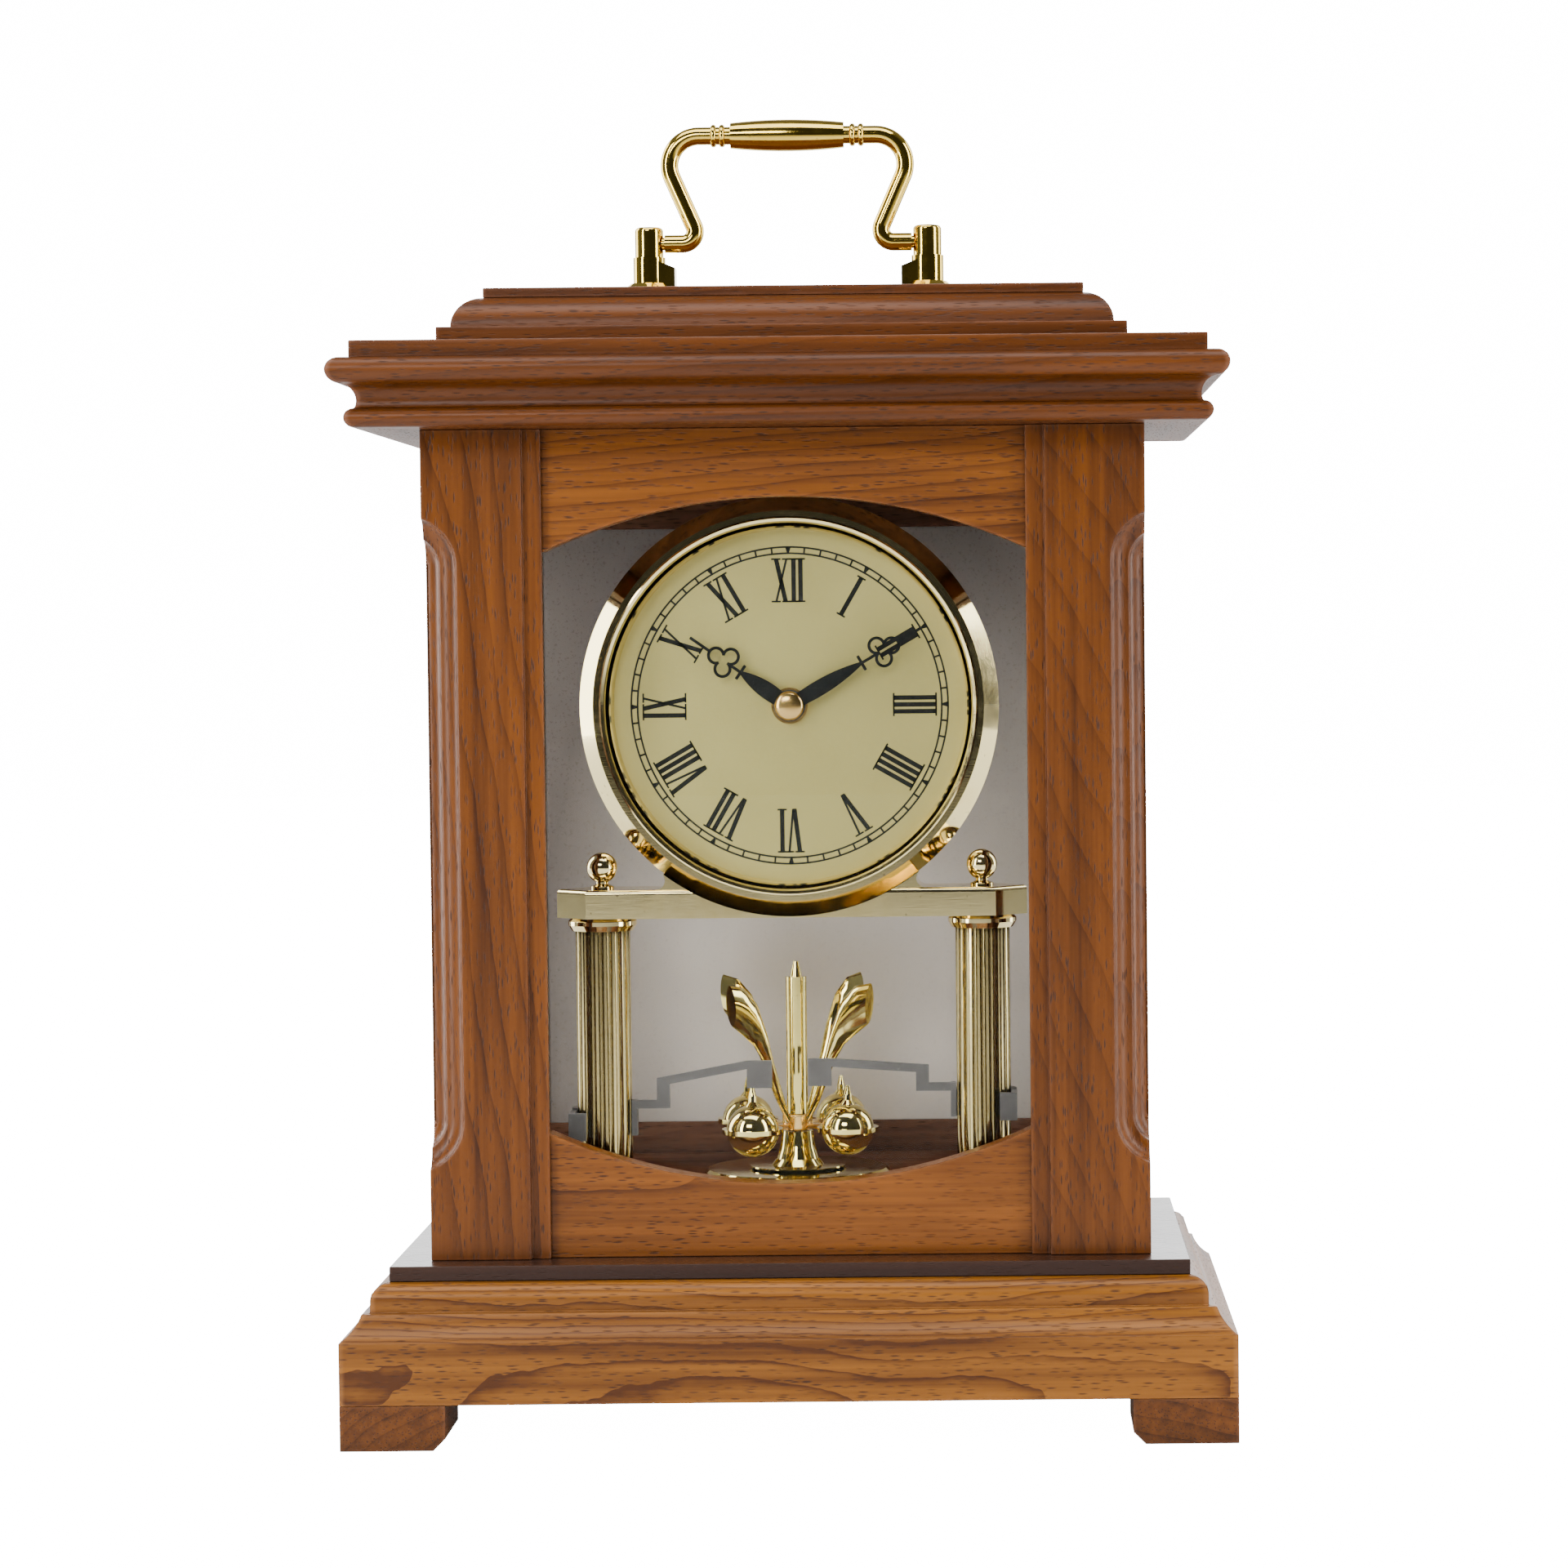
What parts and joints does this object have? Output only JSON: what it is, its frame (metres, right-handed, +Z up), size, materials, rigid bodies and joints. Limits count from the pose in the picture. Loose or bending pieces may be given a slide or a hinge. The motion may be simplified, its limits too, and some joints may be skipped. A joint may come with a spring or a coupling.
{
  "type": "mantel clock",
  "caption": "Wooden carriage-style mantel clock with brass handle, arched glass front, round dial on a column bridge and a rotary pendulum.",
  "frame": {"origin": "on the standing surface, under the middle of the base", "axes": "+Z up, the dial faces -Y, +X to the right of someone looking at the dial"},
  "size_m": [0.221, 0.135, 0.3326],
  "materials": {
    "wood_base": "satin stained",
    "wood_dark_board": "satin dark stained",
    "wood_case": "satin stained",
    "wood_inside": "satin dark stained",
    "wood_cornice": "satin stained",
    "clear_glass": "clear polished",
    "grey_panel": "smooth satin",
    "brass_fittings": "polished",
    "brass_handle": "polished and lacquered",
    "brass_clock": "bright plated",
    "brass_pendulum": "bright plated",
    "brass_centre": "polished",
    "gold_dial": "satin gold",
    "black_hands": "satin black",
    "black_plastic": "fine texture",
    "grey_plastic_cover": "fine texture",
    "white_plastic_wheels": "moulded",
    "brass_wheel": "machined",
    "steel_rods": "zinc plated",
    "battery_sleeve": "printed sleeve, no lettering",
    "copper_coils": "enamelled winding wire",
    "clip_plastic": "moulded"
  },
  "bodies": {
    "case": {"plinth_rail_front": "wood_base", "plinth_rail_back": "wood_base", "plinth_rail_left": "wood_base", "plinth_rail_right": "wood_base", "feet": "wood_base", "plinth_board": "wood_dark_board", "corner_post_left": "wood_case", "corner_post_right": "wood_case", "front_top_rail": "wood_case", "front_bottom_rail": "wood_case", "side_frame_left": "wood_case", "side_frame_right": "wood_case", "floor_board": "wood_inside", "top_board": "wood_inside", "rear_rails": "wood_inside", "cornice_front": "wood_cornice", "cornice_back": "wood_cornice", "cornice_left": "wood_cornice", "cornice_right": "wood_cornice", "cornice_board": "wood_cornice", "step_board": "wood_cornice", "crown_board": "wood_cornice", "cap_board": "wood_cornice", "front_glass": "clear_glass", "side_glasses": "clear_glass", "dial_glass": "clear_glass", "hinge_case_leaves_and_pins": "brass_fittings", "handle_posts": "brass_handle", "drum": "brass_clock", "bezel": "brass_clock", "bridge": "brass_clock", "columns": "brass_clock", "column_collars": "brass_clock", "finials": "brass_clock", "pendulum_disc": "brass_pendulum", "fixing_nut": "brass_centre", "dial_plate": "gold_dial", "movement_case": "black_plastic", "drive_housing": "black_plastic", "movement_cover": "grey_plastic_cover", "tie_rods_and_nuts": "steel_rods", "batteries": "battery_sleeve", "coils": "copper_coils", "transit_clips": "clip_plastic"},
    "rear_door": {"rear_door_frame": "wood_inside", "rear_door_panel": "grey_panel", "door_knob": "brass_fittings", "hinge_door_leaves": "brass_fittings"},
    "handle": {"handle_bail": "brass_handle", "handle_grip": "brass_handle"},
    "minute_work": {"minute_hand": "black_hands", "hand_cap": "brass_centre", "centre_wheel": "brass_wheel"},
    "hour_work": {"hour_hand": "black_hands", "hour_wheel": "white_plastic_wheels"},
    "setting_work": {"set_knob": "white_plastic_wheels"},
    "pendulum": {"pendulum_hub": "brass_pendulum", "pendulum_stem": "brass_pendulum", "pendulum_balls": "brass_pendulum", "pendulum_petals": "brass_pendulum"}
  },
  "joints": [
    {"name": "rear_door_hinge", "type": "hinge", "parent": "case", "child": "rear_door", "pos_m": [0.078, 0.049, 0.14], "axis": [0, 0, -1], "range_deg": [0, 110]},
    {"name": "handle_swing", "type": "hinge", "parent": "case", "child": "handle", "pos_m": [0, 0, 0.3008], "axis": [1, 0, 0], "range_deg": [-90, 90]},
    {"name": "minute_hand_turn", "type": "hinge", "parent": "case", "child": "minute_work", "pos_m": [0, 0, 0.1814], "axis": [0, 1, 0], "continuous": true},
    {"name": "hour_hand_turn", "type": "hinge", "parent": "case", "child": "hour_work", "pos_m": [0, 0, 0.1814], "axis": [0, 1, 0], "continuous": true},
    {"name": "set_knob_turn", "type": "hinge", "parent": "case", "child": "setting_work", "pos_m": [0, 0, 0.191], "axis": [0, 1, 0], "continuous": true},
    {"name": "pendulum_spin", "type": "hinge", "parent": "case", "child": "pendulum", "pos_m": [0, -0.0045, 0], "axis": [0, 0, 1], "continuous": true}
  ],
  "couplings": [
    {"joint": "hour_hand_turn", "follows": "minute_hand_turn", "ratio": 0.083333},
    {"joint": "set_knob_turn", "follows": "minute_hand_turn", "ratio": -0.33333}
  ]
}
